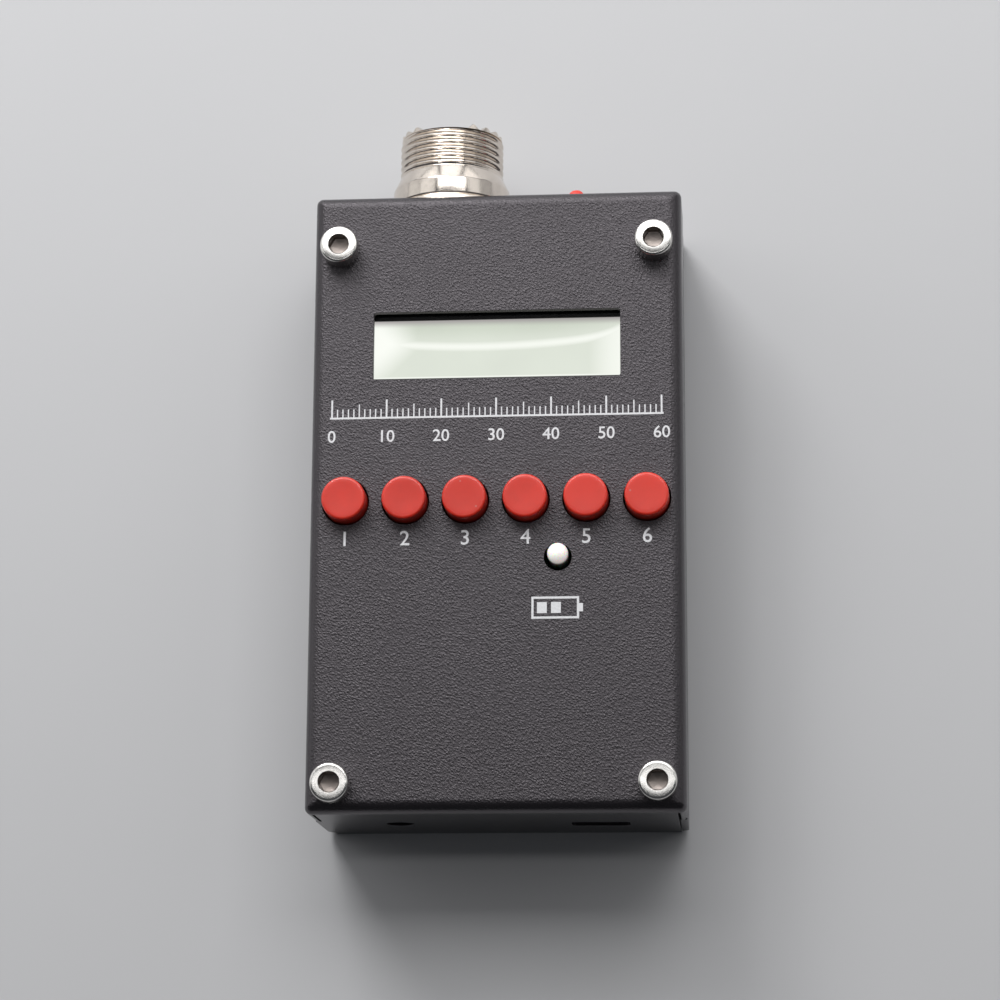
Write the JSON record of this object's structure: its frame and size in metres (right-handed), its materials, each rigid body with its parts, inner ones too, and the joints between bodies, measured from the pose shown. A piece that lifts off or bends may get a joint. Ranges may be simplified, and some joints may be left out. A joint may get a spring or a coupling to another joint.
{
  "type": "antenna analyzer",
  "caption": "Hand-held antenna analyzer: folded black sheet-metal case, display window, row of round red push buttons, threaded antenna socket at the top end.",
  "frame": {"origin": "centre of the case's back face", "axes": "+X to the right, +Y along the case towards the antenna socket, +Z out of the front face"},
  "size_m": [0.054, 0.1045, 0.028],
  "materials": {
    "black_sheet": "fine-textured powder coat",
    "screw_steel": "bright",
    "plated_brass": "nickel plated",
    "circuit_board": "solder mask",
    "white_plastic": "matte",
    "display_glass": "blank reflective display",
    "black_metal": "satin",
    "black_plastic": "matte",
    "lamp_plastic": "milky, gloss",
    "nickel": "nickel plate",
    "insulator_plastic": "satin",
    "contact_metal": "plated",
    "red_plastic": "satin",
    "usb_steel": "bright",
    "foam": "foam",
    "battery_foil": "foil",
    "chip_black": "matte",
    "can_steel": "bright",
    "capacitor_yellow": "matte"
  },
  "bodies": {
    "case": {"front_shell": "black_sheet", "rear_shell": "black_sheet", "cover_screws": "screw_steel", "lower_standoffs": "plated_brass", "middle_standoffs": "plated_brass", "upper_standoffs": "plated_brass", "main_board": "circuit_board", "display_board": "circuit_board", "lcd_board": "circuit_board", "lcd_backlight": "white_plastic", "lcd_glass": "display_glass", "lcd_bezel": "black_metal", "lcd_header": "black_plastic", "board_header": "black_plastic", "charge_led": "lamp_plastic", "antenna_socket": "nickel", "socket_spacer_ring": "nickel", "socket_insulator": "insulator_plastic", "socket_contact": "contact_metal", "socket_nut": "nickel", "signal_strip": "contact_metal", "power_switch": "black_plastic", "dc_jack": "black_plastic", "dc_pin": "contact_metal", "usb_shell": "usb_steel", "usb_tongue": "black_plastic", "battery_pad": "foam", "battery_pouch": "battery_foil", "battery_tab_plus": "contact_metal", "battery_tab_minus": "contact_metal", "battery_clip": "white_plastic", "controller_chip": "chip_black", "dds_chip": "chip_black", "charger_chip": "chip_black", "upper_detector_chip": "chip_black", "lower_detector_chip": "chip_black", "oscillator_can": "can_steel", "filter_capacitors": "capacitor_yellow", "key_switch_1": "black_plastic", "key_switch_2": "black_plastic", "key_switch_3": "black_plastic", "key_switch_4": "black_plastic", "key_switch_5": "black_plastic", "key_switch_6": "black_plastic"},
    "key_1": {"button_cap_1": "red_plastic", "key_stem_1": "black_plastic"},
    "key_2": {"button_cap_2": "red_plastic", "key_stem_2": "black_plastic"},
    "key_3": {"button_cap_3": "red_plastic", "key_stem_3": "black_plastic"},
    "key_4": {"button_cap_4": "red_plastic", "key_stem_4": "black_plastic"},
    "key_5": {"button_cap_5": "red_plastic", "key_stem_5": "black_plastic"},
    "key_6": {"button_cap_6": "red_plastic", "key_stem_6": "black_plastic"},
    "power_key": {"power_button": "red_plastic", "power_plunger": "white_plastic"}
  },
  "joints": [
    {"name": "key_1_press", "type": "slide", "parent": "case", "child": "key_1", "axis": [0, 0, -1], "range_m": [0, 0.0003], "stiffness_N_per_m": 4000},
    {"name": "key_2_press", "type": "slide", "parent": "case", "child": "key_2", "axis": [0, 0, -1], "range_m": [0, 0.0003], "stiffness_N_per_m": 4000},
    {"name": "key_3_press", "type": "slide", "parent": "case", "child": "key_3", "axis": [0, 0, -1], "range_m": [0, 0.0003], "stiffness_N_per_m": 4000},
    {"name": "key_4_press", "type": "slide", "parent": "case", "child": "key_4", "axis": [0, 0, -1], "range_m": [0, 0.0003], "stiffness_N_per_m": 4000},
    {"name": "key_5_press", "type": "slide", "parent": "case", "child": "key_5", "axis": [0, 0, -1], "range_m": [0, 0.0003], "stiffness_N_per_m": 4000},
    {"name": "key_6_press", "type": "slide", "parent": "case", "child": "key_6", "axis": [0, 0, -1], "range_m": [0, 0.0003], "stiffness_N_per_m": 4000},
    {"name": "power_press", "type": "slide", "parent": "case", "child": "power_key", "axis": [0, -1, 0], "range_m": [0, 0.0015], "stiffness_N_per_m": 600}
  ]
}
